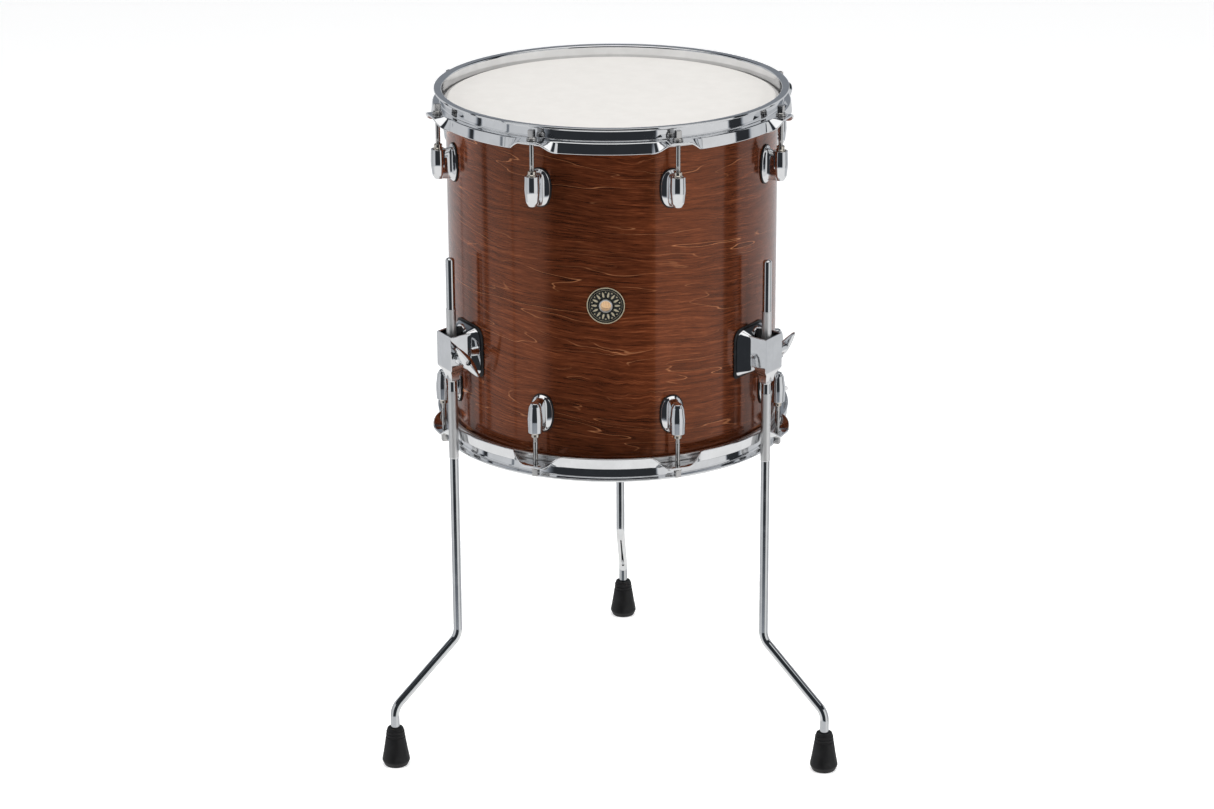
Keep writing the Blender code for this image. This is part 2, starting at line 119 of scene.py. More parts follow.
class Nodes:
    """Writes a node tree: each call adds a node and gives back its result."""

    def __init__(self, tree, shader=None):
        self.tree = tree
        self.shader = shader

    def put(self, socket, value):
        if isinstance(value, bpy.types.NodeSocket):
            self.tree.links.new(value, socket)
        elif value is not None:
            socket.default_value = value

    def node(self, kind, **settings):
        made = self.tree.nodes.new(kind)
        for key, value in settings.items():
            setattr(made, key, value)
        return made

    def math(self, operation, *values):
        made = self.node("ShaderNodeMath", operation=operation)
        for socket, value in zip(made.inputs, values):
            self.put(socket, value)
        return made.outputs[0]

    def times(self, first, *others):
        for other in others:
            first = self.math("MULTIPLY", first, other)
        return first

    def plus(self, first, *others):
        for other in others:
            first = self.math("ADD", first, other)
        return first

    def distance(self, x, y):
        """How far a place is from the Z axis."""
        return self.math("SQRT", self.plus(self.times(x, x), self.times(y, y)))

    def step(self, value, low, high, first=0.0, last=1.0):
        """Goes smoothly from first to last as the value goes from low to high."""
        made = self.node("ShaderNodeMapRange", interpolation_type="SMOOTHSTEP")
        names = ("Value", "From Min", "From Max", "To Min", "To Max")
        for name, entry in zip(names, (value, low, high, first, last)):
            self.put(made.inputs[name], entry)
        return made.outputs[0]

    def xyz(self, vector):
        made = self.node("ShaderNodeSeparateXYZ")
        self.put(made.inputs[0], vector)
        return made.outputs

    def vector(self, x, y, z):
        made = self.node("ShaderNodeCombineXYZ")
        for socket, value in zip(made.inputs, (x, y, z)):
            self.put(socket, value)
        return made.outputs[0]

    def noise(self, vector, scale=1.0, detail=3.0, roughness=0.5, distortion=0.0):
        made = self.node("ShaderNodeTexNoise")
        self.put(made.inputs["Vector"], vector)
        settings = {"Scale": scale, "Detail": detail, "Roughness": roughness, "Distortion": distortion}
        for name, value in settings.items():
            made.inputs[name].default_value = value
        return made.outputs["Fac"]

    def ramp(self, factor, stops):
        made = self.node("ShaderNodeValToRGB")
        self.put(made.inputs[0], factor)
        elements = made.color_ramp.elements
        while len(elements) < len(stops):
            elements.new(0.5)
        for element, (place, colour) in zip(elements, stops):
            element.position = place
            element.color = (*colour, 1.0)
        return made.outputs[0]

    def mix(self, factor, first, second, blend="MIX"):
        made = self.node("ShaderNodeMix", data_type="RGBA", blend_type=blend)
        self.put(made.inputs[0], factor)
        for socket, value in ((made.inputs[6], first), (made.inputs[7], second)):
            self.put(socket, (*value, 1.0) if isinstance(value, tuple) else value)
        return made.outputs[2]

    def bump(self, height, strength, distance):
        made = self.node("ShaderNodeBump")
        self.put(made.inputs["Height"], height)
        made.inputs["Strength"].default_value = strength
        made.inputs["Distance"].default_value = distance
        return made.outputs[0]

    def object_place(self):
        return self.node("ShaderNodeTexCoord").outputs["Object"]

    def dress(self, colour, roughness=None, relief=None):
        """Links a surface's colour, its roughness and its relief (height, strength, distance)."""
        self.put(self.shader.inputs["Base Color"], colour)
        self.put(self.shader.inputs["Roughness"], roughness)
        if relief:
            self.put(self.shader.inputs["Normal"], self.bump(*relief))


def new_material(name, **uniform):
    """A Principled material. The uniform values are set on the shader's own sockets."""
    material = bpy.data.materials.new(name)
    material.use_nodes = True
    shader = material.node_tree.nodes["Principled BSDF"]
    for socket, value in uniform.items():
        shader.inputs[socket.replace("_", " ")].default_value = value
    return material, Nodes(material.node_tree, shader)


def stained_veneer():
    """Red-brown veneer under a deep gloss lacquer. The grain runs round the shell."""
    material, nodes = new_material(
        "stained_veneer", Roughness=0.14, Specular_IOR_Level=0.85, Specular_Tint=(1.0, 0.32, 0.13, 1.0),
        Coat_Weight=0.30, Coat_Roughness=0.018, Coat_IOR=1.5
    )
    x, y, z = nodes.xyz(nodes.object_place())
    along = nodes.times(nodes.math("ARCTAN2", x, nodes.times(y, -1.0)), SHELL_RADIUS)
    slope = nodes.math("MULTIPLY_ADD", along, 0.07, z)

    def stretched(along_scale, level, level_scale, seed, **settings):
        """Noise drawn out along the grain."""
        drawn = nodes.vector(nodes.times(along, along_scale), nodes.times(level, level_scale), seed)
        return nodes.noise(drawn, **settings)

    broad = stretched(6.0, slope, 9.0, 0.0, detail=2.0)
    figured = nodes.step(stretched(7.0, slope, 8.0, 5.0, detail=2.0), 0.56, 0.70)
    ripple = stretched(62.0, slope, 34.0, 2.0, detail=3.0)
    lift = nodes.times(nodes.math("SUBTRACT", broad, 0.5), 0.026)
    reach = nodes.step(figured, 0.0, 1.0, 0.0012, 0.009)
    swirl = nodes.times(nodes.math("SUBTRACT", ripple, 0.5), reach)
    level = nodes.plus(slope, lift, swirl)
    growth = stretched(2.2, level, 19.0, 1.0, detail=3.5)
    bands = stretched(7.0, level, 230.0, 3.0, detail=5.0, roughness=0.68)
    fibre = stretched(44.0, level, 700.0, 4.0, detail=4.0, roughness=0.68)
    pores = stretched(85.0, level, 1900.0, 6.0, detail=2.0)
    shown = nodes.step(stretched(6.0, level, 26.0, 8.0), 0.46, 0.62)
    rings = nodes.math("FRACT", nodes.times(growth, 15.0))
    light_line = nodes.times(nodes.step(rings, 0.93, 0.965), nodes.step(rings, 0.975, 1.0, 1.0, 0.0))
    dark_line = nodes.times(nodes.step(rings, 0.0, 0.03), nodes.step(rings, 0.04, 0.30, 1.0, 0.0))
    tone = nodes.math("MULTIPLY_ADD", bands, 0.48, nodes.times(fibre, 0.52))
    colour = nodes.ramp(tone, [
        (0.37, (0.021, 0.0052, 0.0021)),
        (0.46, (0.052, 0.0130, 0.0049)),
        (0.54, (0.086, 0.0220, 0.0083)),
        (0.66, (0.172, 0.0520, 0.0205)),
    ])
    colour = nodes.mix(nodes.times(light_line, shown, 0.80), colour, (0.36, 0.150, 0.068))
    colour = nodes.mix(nodes.times(dark_line, shown, 0.55), colour, (0.016, 0.005, 0.003))
    colour = nodes.mix(nodes.step(pores, 0.60, 0.70, 0.0, 0.5), colour, (0.018, 0.005, 0.003))
    shade = nodes.step(stretched(9.0, slope, 3.0, 9.0, detail=2.0), 0.35, 0.68, 0.78, 1.30)
    colour = nodes.mix(1.0, colour, nodes.vector(shade, shade, shade), "MULTIPLY")
    nodes.dress(colour, relief=(nodes.plus(fibre, bands), 0.12, 0.0003))
    return material


def raw_ply():
    """The bare bearing edge, where the plies show as thin rings."""
    material, nodes = new_material("raw_ply_edge", Roughness=0.55)
    x, y, z = nodes.xyz(nodes.object_place())
    radius = nodes.distance(x, y)
    ply = nodes.math("FRACT", nodes.times(radius, 1 / PLY))
    turn = nodes.times(nodes.math("ARCTAN2", x, y), 60.0)
    grain = nodes.noise(nodes.vector(turn, nodes.times(radius, 3000.0), z), 1.0, 4.0)
    colour = nodes.ramp(grain, [(0.3, (0.40, 0.26, 0.14)), (0.7, (0.58, 0.42, 0.26))])
    colour = nodes.mix(nodes.step(ply, 0.86, 0.92, 0.0, 0.5), colour, (0.20, 0.11, 0.05))
    nodes.dress(colour, relief=(grain, 0.2, 0.0002))
    return material


def inner_maple():
    """Pale wood inside the shell, with upright grain and a thin satin sealer."""
    material, nodes = new_material("inner_maple", Roughness=0.38, Coat_Weight=0.3, Coat_Roughness=0.25)
    x, y, z = nodes.xyz(nodes.object_place())
    turn = nodes.times(nodes.math("ARCTAN2", x, y), SHELL_INNER)
    wander = nodes.noise(nodes.vector(turn, z, 0.0), 9.0, 2.0)
    across = nodes.math("MULTIPLY_ADD", wander, 0.03, turn)
    grain = nodes.noise(nodes.vector(nodes.times(across, 420.0), nodes.times(z, 16.0), 0.0), 1.0, 4.0, 0.6)
    colour = nodes.ramp(grain, [
        (0.30, (0.42, 0.27, 0.145)),
        (0.55, (0.60, 0.43, 0.260)),
        (0.80, (0.70, 0.54, 0.360)),
    ])
    nodes.dress(colour, relief=(grain, 0.15, 0.0002))
    return material


def coated_film():
    """A sprayed white coating: fine even grain, a faint mottle, and a thinner bare band near the collar."""
    material, nodes = new_material("coated_film", IOR=1.45, Specular_IOR_Level=0.35)
    place = nodes.object_place()
    x, y, _ = nodes.xyz(place)
    speckle = nodes.noise(place, 2600.0, 2.0, 0.6)
    mottle = nodes.noise(place, 45.0, 4.0, 0.6)
    colour = nodes.mix(nodes.step(mottle, 0.3, 0.7), (0.665, 0.645, 0.618), (0.692, 0.672, 0.645))
    colour = nodes.mix(nodes.step(speckle, 0.35, 0.65, 0.10, 0.0), colour, (0.50, 0.48, 0.46))
    bare = nodes.step(nodes.distance(x, y), COATING_RADIUS - 0.0003, COATING_RADIUS + 0.0003)
    colour = nodes.mix(nodes.times(bare, 0.45), colour, (0.46, 0.44, 0.42))
    nodes.dress(colour, nodes.step(bare, 0.0, 1.0, 0.62, 0.25), (speckle, 0.35, 0.00012))
    return material


def clear_film():
    """Clear polyester with faint hairline marks."""
    material, nodes = new_material("clear_film", Alpha=0.30, IOR=1.6)
    marks = nodes.noise(nodes.object_place(), 160.0, 5.0, 0.7, 1.5)
    colour = nodes.mix(marks, (0.72, 0.75, 0.77), (0.86, 0.88, 0.89))
    nodes.dress(colour, nodes.step(marks, 0.3, 0.75, 0.03, 0.14))
    return material


def polished_chrome(name, colour, smudge=1.0, knurled=()):
    """Bright plate with soft smudges and shallow waviness, satin and lighter where it is knurled (highest,
    lowest); the lighter colour there is painted sheen for the light the knurl catches all round.
    """
    material, nodes = new_material(name, Metallic=1.0)
    place = nodes.object_place()
    cloud = nodes.noise(place, 60.0, 4.0, 0.6)
    fine = nodes.noise(place, 900.0, 3.0, 0.6)
    dark = tuple(0.93 * channel for channel in colour)
    shade = nodes.mix(nodes.step(cloud, 0.35, 0.7), dark, colour)
    streak = nodes.math("MULTIPLY_ADD", fine, 0.25, cloud)
    rough = nodes.step(streak, 0.5, 0.9, 0.025, 0.025 + 0.075 * smudge)
    soft = 0.0004
    for high, low in knurled:
        height = nodes.xyz(place)[2]
        below = nodes.step(height, high - soft, high + soft, 1.0, 0.0)
        inside = nodes.times(nodes.step(height, low - soft, low + soft), below)
        # Painted sheen: the knurled lengths get a lighter colour for the light the knurl catches from all
        # round, and the raised roughness is their real satin.
        shade = nodes.mix(inside, shade, (0.90, 0.90, 0.90))
        rough = nodes.math("MAXIMUM", rough, nodes.times(inside, 0.46))
    nodes.dress(shade, rough, (cloud, 0.05, 0.0002))
    return material


def dull_steel(name, colour, low, high):
    """Plated metal whose roughness is broken up by fine upright marks."""
    grain = (900.0, 900.0, 60.0)
    material, nodes = new_material(name, Metallic=1.0)
    scaled = [nodes.times(axis, share) for axis, share in zip(nodes.xyz(nodes.object_place()), grain)]
    marks = nodes.noise(nodes.vector(*scaled), 1.0, 4.0, 0.6)
    dark = tuple(0.8 * channel for channel in colour)
    nodes.dress(nodes.mix(marks, dark, colour), nodes.step(marks, 0.3, 0.7, low, high), (marks, 0.08, 0.0001))
    return material


def moulded_rubber(name, colour):
    """Black rubber with a fine pebble, a pale bloom in places and rubbed patches."""
    material, nodes = new_material(name, Specular_IOR_Level=0.28)
    place = nodes.object_place()
    pebble = nodes.noise(place, 1500.0, 3.0, 0.6)
    bloom = nodes.noise(place, 85.0, 4.0, 0.65)
    pale = tuple(2.3 * channel + 0.004 for channel in colour)
    shade = nodes.mix(nodes.step(bloom, 0.45, 0.8, 0.0, 0.7), colour, pale)
    nodes.dress(shade, nodes.step(bloom, 0.3, 0.7, 0.38, 0.62), (pebble, 0.30, 0.00015))
    return material


def badge_enamel():
    """Glossy black enamel with a slight orange-peel surface."""
    material, nodes = new_material("badge_enamel", Coat_Weight=0.6, Coat_Roughness=0.08)
    peel = nodes.noise(nodes.object_place(), 700.0, 3.0, 0.5)
    colour = nodes.mix(peel, (0.006, 0.007, 0.006), (0.016, 0.018, 0.016))
    nodes.dress(colour, nodes.step(peel, 0.3, 0.7, 0.22, 0.40), (peel, 0.15, 0.0001))
    return material


def badge_print():
    """Cream-gold print and rim, slightly worn."""
    material, nodes = new_material("badge_print", Metallic=0.25, IOR=1.5)
    wear = nodes.noise(nodes.object_place(), 420.0, 4.0, 0.6)
    colour = nodes.mix(wear, (0.36, 0.31, 0.21), (0.50, 0.45, 0.33))
    nodes.dress(colour, nodes.step(wear, 0.3, 0.7, 0.28, 0.45), (wear, 0.1, 0.0001))
    return material


def pale_floor():
    """A plain pale studio floor with a barely visible tone."""
    material, nodes = new_material(
        "pale_floor", Roughness=0.9, Specular_IOR_Level=0.1, Emission_Strength=0.42,
        Emission_Color=(1.0, 1.0, 1.0, 1.0)
    )
    cloud = nodes.noise(nodes.object_place(), 0.6, 3.0)
    nodes.dress(nodes.mix(cloud, (0.90, 0.90, 0.90), (0.93, 0.93, 0.93)))
    return material


# Shape helpers


def circle(radius, height, steps, centre=(0.0, 0.0)):
    turns = [-pi / 2 + 2 * pi * i / steps for i in range(steps)]
    return [Vector((centre[0] + radius * cos(a), centre[1] + radius * sin(a), height)) for a in turns]


def rounded(corners, steps=4, closed=True):
    """Rounds each corner (u, v, radius) of an outline. A nearly straight corner still gets spaced points."""
    count = len(corners)
    points = []
    for i, (u, v, radius) in enumerate(corners):
        corner = Vector((u, v))
        if radius <= 0 or (not closed and i in (0, count - 1)):
            points.append(corner)
            continue
        before = (Vector(corners[i - 1][:2]) - corner).normalized()
        after = (Vector(corners[(i + 1) % count][:2]) - corner).normalized()
        trim = radius * max(1 / tan(before.angle(after) / 2), 0.35)
        start, end = corner + trim * before, corner + trim * after
        for k in range(steps + 1):
            t = k / steps
            points.append((1 - t) ** 2 * start + 2 * t * (1 - t) * corner + t**2 * end)
    return points


def rounded_rectangle(low, high, radius, steps=5):
    """Points of a rectangle with round corners, counter-clockwise from its lower left."""
    centres = [
        (low[0] + radius, low[1] + radius, pi),
        (high[0] - radius, low[1] + radius, 1.5 * pi),
        (high[0] - radius, high[1] - radius, 0.0),
        (low[0] + radius, high[1] - radius, 0.5 * pi),
    ]
    points = []
    for u, v, start in centres:
        for k in range(steps + 1):
            turn = start + k / steps * pi / 2
            points.append((u + radius * cos(turn), v + radius * sin(turn)))
    return points


def oval(half_width, half_height, power, steps):
    """A superellipse: power 2 is an ellipse, and a higher power is squarer."""
    points = []
    for i in range(steps):
        turn = 2 * pi * i / steps
        c, s = cos(turn), sin(turn)
        u = half_width * abs(c) ** (2 / power) * (1 if c >= 0 else -1)
        v = half_height * abs(s) ** (2 / power) * (1 if s >= 0 else -1)
        points.append((u, v))
    return points


def loft(rings, closed=False):
    bm = bmesh.new()
    loops = [[bm.verts.new(point) for point in ring] for ring in rings]
    count = len(loops[0])
    pairs = list(zip(loops, loops[1:]))
    if closed:
        pairs.append((loops[-1], loops[0]))
    else:
        bm.faces.new(list(reversed(loops[0])))
        bm.faces.new(loops[-1])
    for first, second in pairs:
        for i in range(count):
            j = (i + 1) % count
            bm.faces.new((first[i], first[j], second[j], second[i]))
    bmesh.ops.recalc_face_normals(bm, faces=bm.faces)
    return bm


def link(obj):
    bpy.context.scene.collection.objects.link(obj)


def flat_ring(points, height):
    return [Vector((*point, height)) for point in points]


def turned(profile, steps, centre=(0.0, 0.0)):
    """A solid of revolution about Z through (radius, height) points, capped at both ends."""
    return loft([circle(p[0], p[1], steps, centre) for p in profile])


def turned_ring(section, steps):
    """A ring about Z with a closed section of (radius, height) points."""
    turns = [-pi / 2 + 2 * pi * i / steps for i in range(steps)]
    return loft([[Vector((p[0] * cos(a), p[0] * sin(a), p[1])) for p in section] for a in turns], closed=True)


def along_x(bm):
    for vert in bm.verts:
        x, y, z = vert.co
        vert.co = (z, x, y)
    return bm


def along_y(bm):
    for vert in bm.verts:
        x, y, z = vert.co
        vert.co = (y, z, x)
    return bm


def moved(bm, matrix):
    bmesh.ops.transform(bm, matrix=matrix, verts=bm.verts)
    return bm


def joined(first, *others):
    """Puts several closed shapes that don't meet into one mesh."""
    for other in others:
        mesh = to_mesh(other, "joined")
        first.from_mesh(mesh)
        bpy.data.meshes.remove(mesh)
    return first


def to_mesh(bm, name):
    mesh = bpy.data.meshes.new(name)
    bm.to_mesh(mesh)
    bm.free()
    return mesh


def combine(base, name, steps):
    """The mesh left after uniting shapes with, or cutting them from, the base shape."""
    helpers = [bpy.data.objects.new(name + "_base", to_mesh(base, name))]
    for operation, bm in steps:
        helpers.append(bpy.data.objects.new(f"{name}_{len(helpers)}", to_mesh(bm, name)))
        modifier = helpers[0].modifiers.new(operation, "BOOLEAN")
        modifier.operation = operation
        modifier.object = helpers[-1]
    for helper in helpers:
        link(helper)
    graph = bpy.context.evaluated_depsgraph_get()
    mesh = bpy.data.meshes.new_from_object(helpers[0].evaluated_get(graph))
    for helper in helpers:
        bpy.data.objects.remove(helper, do_unlink=True)
    return mesh


def smooth(mesh, angle=40):
    """Smooth shading that keeps edges sharp past the angle and leaves large faces flat beside small fillets."""
    mesh.shade_smooth()
    mesh.set_sharp_from_angle(angle=radians(angle))
    helper = bpy.data.objects.new(mesh.name + "_shading", mesh)
    link(helper)
    weights = helper.modifiers.new("weights", "WEIGHTED_NORMAL")
    weights.keep_sharp = True
    shaded = bpy.data.meshes.new_from_object(helper.evaluated_get(bpy.context.evaluated_depsgraph_get()))
    bpy.data.objects.remove(helper, do_unlink=True)
    return shaded


def place(angle, radius, height, turn=(0.0, 0.0)):
    """The matrix of a local frame at an angle round the drum, turned first about its own X and then its Y."""
    spin = radians(angle)
    spot = Vector((AXIS.x + radius * sin(spin), AXIS.y - radius * cos(spin), height))
    own = Matrix.Rotation(turn[1], 4, "Y") @ Matrix.Rotation(turn[0], 4, "X")
    return Matrix.Translation(spot) @ Matrix.Rotation(spin, 4, "Z") @ own


def piece(name, mesh, materials, matrix, body, stands_for=()):
    """Adds a visible piece that rides on a body and stands for CAD nodes."""
    if not mesh.materials:
        for material in materials if isinstance(materials, (list, tuple)) else [materials]:
            mesh.materials.append(material)
    obj = bpy.data.objects.new(name, mesh)
    link(obj)
    obj.matrix_world = matrix
    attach(obj, body)
    if stands_for:
        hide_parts(*stands_for)


# Shell and heads


def make_shell(looks):
    """The lacquered tube, its bare bearing edges and its pale inside, with the vent hole drilled."""
    half = MID_HEIGHT - BOTTOM_EDGE
    peak = SHELL_RADIUS - EDGE_PEAK_INSET
    bevel_end = half - (peak - SHELL_INNER)
    section = rounded([
        (SHELL_RADIUS, half - EDGE_OUTER_DROP, 0.0008),
        (peak, half, 0.0007),
        (SHELL_INNER, bevel_end, 0.0004),
        (SHELL_INNER, -bevel_end, 0.0004),
        (peak, -half, 0.0007),
        (SHELL_RADIUS, -half + EDGE_OUTER_DROP, 0.0008),
    ], 3)
    outside, inside = -SHELL_RADIUS - SHELL_WALL, -SHELL_INNER + SHELL_WALL
    drill = along_y(turned([(VENT_HOLE, outside), (VENT_HOLE, inside)], 48))
    mesh = combine(turned_ring(section, ROUND_STEPS), "shell", [("DIFFERENCE", drill)])
    for face in mesh.polygons:
        radius = Vector(face.center[:2]).length
        if radius > SHELL_RADIUS - 0.0001:
            face.material_index = 0
        elif radius < SHELL_INNER + 0.0001:
            face.material_index = 2
        else:
            face.material_index = 1
    materials = [looks["veneer"], looks["ply"], looks["maple"]]
    piece("lacquered_shell", smooth(mesh), materials, DRUM_MIDDLE, "root", ["shell"])


def film_profile():
    """Half of a head's section, from its middle to its collar's end and back underneath."""
    top = FILM_GAP + FILM
    flat, collar = FILM_FLAT_RADIUS - 0.0022, FILM_RADIUS - 0.0006
    return [
        (0.0006, top, 0.0),
        (flat, top, 0.0025),
        (collar, -0.0018, 0.0010),
        (FILM_RADIUS, -FILM_DROP, 0.0),
        (FILM_RADIUS - FILM, -FILM_DROP, 0.0),
        (collar - FILM, -0.0018 - FILM / 2, 0.0010),
        (flat, FILM_GAP, 0.0025),
        (0.0006, FILM_GAP, 0.0),
    ]


def make_heads(looks):
    """Each head is a film over the bearing edge and the crimped metal hoop that holds its collar."""
    profile = rounded(film_profile(), 5, closed=False)
    low, high = FLESH_HOOP_RADII
    bottom = FLESH_HOOP_TOP - FLESH_HOOP_HEIGHT
    crimp = rounded([
        (low, bottom, 0.0012),
        (high, bottom, 0.0012),
        (high, FLESH_HOOP_TOP - 0.0030, 0.0006),
        (high - 0.0007, FLESH_HOOP_TOP - 0.0024, 0.0006),
        (high - 0.0007, FLESH_HOOP_TOP, 0.0007),
        (low, FLESH_HOOP_TOP, 0.0007),
    ], 4)
    flip = Matrix.Rotation(pi, 4, "X")
    for side, height, turn, look, slot in (
        ("batter", TOP_EDGE, Matrix.Identity(4), "coated", "coated_film"),
        ("resonant", BOTTOM_EDGE, flip, "clear", "clear_film"),
    ):
        matrix = Matrix.Translation((AXIS.x, AXIS.y, height)) @ turn
        film = smooth(to_mesh(turned(profile, ROUND_STEPS), side + "_film"))
        ring = smooth(to_mesh(turned_ring(crimp, ROUND_STEPS), side + "_crimp"))
        piece(f"{side}_drawn_film", film, looks[look], matrix, "root", [f"{side}_head"])
        piece(f"{side}_crimped_hoop", ring, looks["aluminium"], matrix, "root",
              [f"{side}_flesh_hoop"])


# Hoops


def hoop_section(spread):
    """The pressed hoop's section. Spread 0 hangs the skirt down, and 1 lays it flat as an ear."""
    swing = SKIRT_FLARE + (pi / 2 - SKIRT_FLARE) * spread
    down = Vector((sin(swing), -cos(swing)))
    across = Vector((cos(swing), sin(swing)))
    corner = Vector((SHOULDER_RADIUS, SHOULDER_TOP))
    outer = corner + SKIRT_LENGTH * down
    inner = outer - SHEET * across
    miter = Vector((SHOULDER_RADIUS - SHEET * tan((pi / 2 - swing) / 2), SHOULDER_TOP - SHEET))
    wall_out = WALL_RADIUS + SHEET
    return rounded([
        (WALL_RADIUS, SHOULDER_TOP - SHEET, 0.0010),
        (WALL_RADIUS, RIM_TOP - 0.0004, 0.0024),
        (RIM_LIP_RADIUS - 0.0002, RIM_TOP, 0.0009),
        (RIM_LIP_RADIUS, RIM_TOP - 0.0026, 0.0009),
        (wall_out, RIM_TOP - 0.0032, 0.0018),
        (wall_out, SHOULDER_TOP, 0.0014),
        (*corner, 0.0024),
        (*outer, 0.0009),
        (*inner, 0.0009),
        (*miter, 0.0012),
    ], 5)


def ear_spread(offset):
    """How far the skirt is laid out flat, by its angle in degrees from the nearest rod."""
    share = min(max((EAR_END - offset) / (EAR_END - EAR_FLAT), 0.0), 1.0)
    return acos((1 + cos(pi * share)) / 2) / (pi / 2)


def hoop_mesh():
    """A wall with a lip, a shoulder over the flesh hoop, a skirt, and eight ears drilled for the rods."""
    half_pitch = 180 / len(LUG_ANGLES)
    steps = [0.9, 1.8, EAR_FLAT] + [EAR_FLAT + (EAR_END - EAR_FLAT) * k / 12 for k in range(1, 13)]
    steps += [EAR_END + (half_pitch - EAR_END) * k / 9 for k in range(1, 10)]
    rings = []
    for centre in LUG_ANGLES:
        offsets = [-step for step in reversed(steps[:-1])] + [0.0] + steps
        for offset in offsets:
            turn = radians(centre + offset)
            section = hoop_section(ear_spread(abs(offset)))
            rings.append([Vector((p[0] * sin(turn), -p[0] * cos(turn), p[1])) for p in section])
    holes = []
    for centre in LUG_ANGLES:
        turn = radians(centre)
        spot = (ROD_CIRCLE * sin(turn), -ROD_CIRCLE * cos(turn))
        wide = ROD_RADIUS + 0.0006
        holes.append(("DIFFERENCE", turned([(wide, -0.012), (wide, 0.003)], 20, spot)))
    return smooth(combine(loft(rings, closed=True), "hoop", holes), 50)


def make_hoops(looks):
    mesh = hoop_mesh()
    for side, height, turn in (("top", TOP_EDGE, 0.0), ("bottom", BOTTOM_EDGE, pi)):
        matrix = Matrix.Translation((AXIS.x, AXIS.y, height)) @ Matrix.Rotation(turn, 4, "X")
        piece(f"{side}_flanged_hoop", mesh, looks["pressed"], matrix, f"{side}_hoop",
              [f"{side}_hoop"])


# Lugs and rods


def wrapped(points, radius, centre_radius):
    """Lays flat (x, z) points on a cylinder of that radius about the drum's axis."""
    return [Vector((x, centre_radius - sqrt(radius * radius - x * x), z)) for x, z in points]


def lug_mesh():
    """A bullet tube on a waisted web that flares out to an oval base."""
    steps = 56
    back = SHELL_RADIUS + 0.0015
    base = [
        (0.0000, 0.0120, 0.0197, 2.3),
        (0.0003, 0.0122, 0.0199, 2.3),
        (0.0008, 0.0120, 0.0197, 2.3),
        (0.0014, 0.0107, 0.0190, 2.4),
        (0.0022, 0.0085, 0.0181, 2.6),
        (0.0031, 0.0073, 0.0174, 2.9),
        (0.0038, 0.0066, 0.0170, 3.2),
        (0.0048, 0.0062, 0.0166, 3.6),
        (0.0080, 0.0062, 0.0158, 4.0),
        (0.0130, 0.0066, 0.0148, 4.0),
    ]
    rings = [wrapped(oval(w, h, power, steps), back + rise, ROD_CIRCLE) for rise, w, h, power in base]
    for ring, row in zip(rings, base):
        drop = 0.0012 * row[0] / base[-1][0]
        for point in ring:
            point.z -= drop
    tube = rounded([
        (0.0001, -0.0162, 0.0),
        (0.0042, -0.0160, 0.0014),
        (0.0067, -0.0116, 0.0040),
        (0.0082, 0.0010, 0.0080),
        (0.0077, 0.0162, 0.0006),
        (0.0058, 0.0162, 0.0004),
        (0.0053, 0.0140, 0.0),
        (0.0001, 0.0140, 0.0),
    ], 6, closed=False)
    return smooth(combine(turned(tube, 56), "lug", [("UNION", loft(rings))]), 35)


def lug_gasket_mesh():
    """A thin oval rubber gasket between the lug and the shell."""
    rows = [
        (0.0003, 0.0133, 0.0208),
        (0.0005, 0.0135, 0.0210),
        (0.0012, 0.0135, 0.0210),
        (0.0014, 0.0133, 0.0208),
    ]
    rings = [wrapped(oval(w, h, 2.3, 56), SHELL_RADIUS + rise, ROD_CIRCLE) for rise, w, h in rows]
    return smooth(to_mesh(loft(rings), "lug_gasket"))


def swivel_collar_mesh():
    """The swivel nut's collar that stands out of the lug's mouth."""
    hole = ROD_RADIUS + 0.0003
    section = rounded([
        (hole, 0.0142, 0.0),
        (0.0050, 0.0142, 0.0),
        (0.0050, 0.0172, 0.0004),
        (0.0043, 0.0180, 0.0003),
        (0.0043, 0.0212, 0.0005),
        (hole, 0.0216, 0.0002),
    ], 3)
    return smooth(to_mesh(turned_ring(section, 36), "swivel_collar"))


def rod_mesh():
    """A threaded rod with a loose washer, a flange and a square drive head. Height 0 is the ear's top."""
    thread_start, pitch, depth = -0.026, 0.00106, 0.00022
    profile = [(0.0004, -ROD_LENGTH), (ROD_RADIUS - 0.0007, -ROD_LENGTH + 0.0006)]
    height = -ROD_LENGTH + 0.0016
    while height < thread_start:
        profile += [(ROD_RADIUS - depth, height), (ROD_RADIUS, height + pitch / 2)]
        height += pitch
    flange = rounded([
        (ROD_RADIUS - 0.0001, thread_start + 0.0016, 0.0),
        (ROD_RADIUS - 0.0001, 0.0020, 0.0002),
        (0.0049, 0.0020, 0.0003),
        (0.0049, 0.0030, 0.0005),
        (0.0038, 0.0036, 0.0004),
        (0.0030, 0.0038, 0.0),
        (0.0004, 0.0038, 0.0),
    ], 3, closed=False)
    shank = turned(profile + flange, 24)
    half = 0.0031
    rings = []
    for share, z in ((1.0, 0.0037), (1.0, 0.0103), (0.93, 0.0109), (0.72, 0.0112)):
        end = half * share
        rings.append(flat_ring(rounded_rectangle((-end, -end), (end, end), 0.0006 * share, 3), z))
    head = loft(rings)
    washer_section = rounded([
        (ROD_RADIUS + 0.0002, 0.0003, 0.0002),
        (0.0055, 0.0003, 0.0004),
        (0.0055, 0.0018, 0.0004),
        (ROD_RADIUS + 0.0002, 0.0018, 0.0002),
    ], 3)
    body = combine(shank, "tension_rod", [("UNION", head)])
    bm = bmesh.new()
    bm.from_mesh(body)
    return smooth(to_mesh(joined(bm, turned_ring(washer_section, 36)), "tension_rod"), 35)


